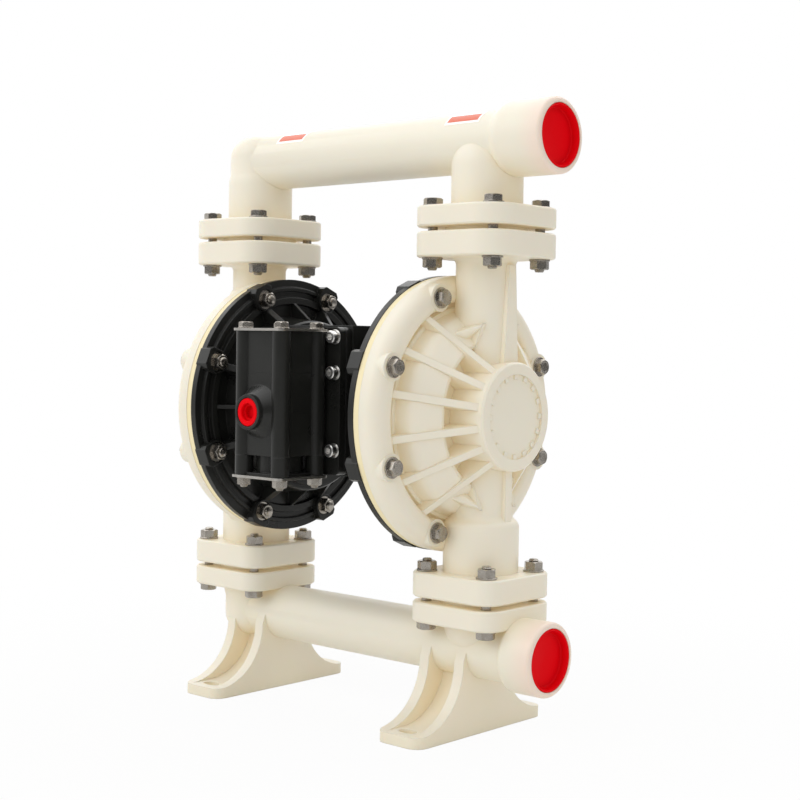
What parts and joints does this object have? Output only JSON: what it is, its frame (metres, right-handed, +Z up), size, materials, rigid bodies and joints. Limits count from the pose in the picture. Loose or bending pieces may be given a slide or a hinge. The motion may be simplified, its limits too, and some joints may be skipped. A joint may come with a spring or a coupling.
{
  "type": "air operated diaphragm pump",
  "caption": "Air operated double diaphragm pump with ribbed covers, flanged ball valve necks, manifold pipes, feet, air valve and transport plugs",
  "frame": {"origin": "On the base plane under the feet, midway between the two risers and in line with the pipes", "axes": "X runs along the shaft and both pipes and points out of the two ports, the air valve faces -Y, +Z is up"},
  "size_m": [0.4775, 0.308, 0.628],
  "materials": {
    "white_pp": "translucent ivory polypropylene, satin",
    "black_pp": "glass filled black polypropylene, satin",
    "stainless": "plain stainless, slightly brown",
    "shaft_steel": "ground and polished",
    "diaphragm_rubber": "cream thermoplastic elastomer",
    "ball_rubber": "cream thermoplastic elastomer",
    "seal_white": "white PTFE",
    "bush_plastic": "dark acetal",
    "gasket_rubber": "black nitrile",
    "sleeve_aluminium": "hard anodised",
    "plug_red": "bright red polyethylene"
  },
  "bodies": {
    "housing": {"discharge_manifold": "white_pp", "suction_manifold": "white_pp", "right_cover": "white_pp", "left_cover": "white_pp", "right_air_chamber": "black_pp", "left_air_chamber": "black_pp", "centre_body": "black_pp", "shaft_bushes": "bush_plastic", "pilot_bushes": "bush_plastic", "shaft_seals": "gasket_rubber", "right_diaphragm": "diaphragm_rubber", "left_diaphragm": "diaphragm_rubber", "suction_seat_left": "white_pp", "suction_seat_right": "white_pp", "discharge_seat_left": "white_pp", "discharge_seat_right": "white_pp", "seat_seals": "seal_white", "valve_adapter": "black_pp", "valve_gasket": "gasket_rubber", "valve_body": "black_pp", "valve_lower_cap": "black_pp", "valve_top_plate": "stainless", "valve_bottom_plate": "stainless", "valve_sleeve": "sleeve_aluminium", "chamber_bolts": "stainless", "chamber_nuts": "stainless", "flange_bolts": "stainless", "flange_nuts": "stainless", "valve_bolts": "stainless", "valve_nuts": "stainless", "valve_screws": "stainless", "tie_screws": "stainless"},
    "shaft_assembly": {"shaft": "shaft_steel", "right_inner_plate": "sleeve_aluminium", "left_inner_plate": "sleeve_aluminium", "right_outer_plate": "white_pp", "left_outer_plate": "white_pp"},
    "pilot": {"pilot_rod": "shaft_steel"},
    "spool": {"valve_spool": "bush_plastic"},
    "outlet_cap": {"outlet_plug": "plug_red"},
    "inlet_cap": {"inlet_plug": "plug_red"},
    "air_inlet_cap": {"air_inlet_plug": "plug_red"},
    "suction_check_left": {"suction_ball_left": "ball_rubber"},
    "suction_check_right": {"suction_ball_right": "ball_rubber"},
    "discharge_check_left": {"discharge_ball_left": "ball_rubber"},
    "discharge_check_right": {"discharge_ball_right": "ball_rubber"}
  },
  "joints": [
    {"name": "shaft_slide", "type": "slide", "parent": "housing", "child": "shaft_assembly", "axis": [1, 0, 0], "range_m": [-0.017, 0.017], "deforming": ["left_diaphragm", "right_diaphragm"]},
    {"name": "pilot_slide", "type": "slide", "parent": "housing", "child": "pilot", "axis": [1, 0, 0], "range_m": [-0.007, 0.007]},
    {"name": "spool_slide", "type": "slide", "parent": "housing", "child": "spool", "axis": [0, 0, 1], "range_m": [0, 0.012]},
    {"name": "suction_left_lift", "type": "slide", "parent": "housing", "child": "suction_check_left", "axis": [0, 0, 1], "range_m": [0, 0.015]},
    {"name": "suction_right_lift", "type": "slide", "parent": "housing", "child": "suction_check_right", "axis": [0, 0, 1], "range_m": [0, 0.015]},
    {"name": "discharge_left_lift", "type": "slide", "parent": "housing", "child": "discharge_check_left", "axis": [0, 0, 1], "range_m": [0, 0.015]},
    {"name": "discharge_right_lift", "type": "slide", "parent": "housing", "child": "discharge_check_right", "axis": [0, 0, 1], "range_m": [0, 0.015]},
    {"name": "outlet_plug_pull", "type": "slide", "parent": "housing", "child": "outlet_cap", "axis": [1, 0, 0], "range_m": [0, 0.12]},
    {"name": "inlet_plug_pull", "type": "slide", "parent": "housing", "child": "inlet_cap", "axis": [1, 0, 0], "range_m": [0, 0.12]},
    {"name": "air_inlet_plug_pull", "type": "slide", "parent": "housing", "child": "air_inlet_cap", "axis": [0, -1, 0], "range_m": [0, 0.08]}
  ],
  "couplings": [
    {"joint": "pilot_slide", "follows": "shaft_slide", "ratio": 0.41176}
  ]
}
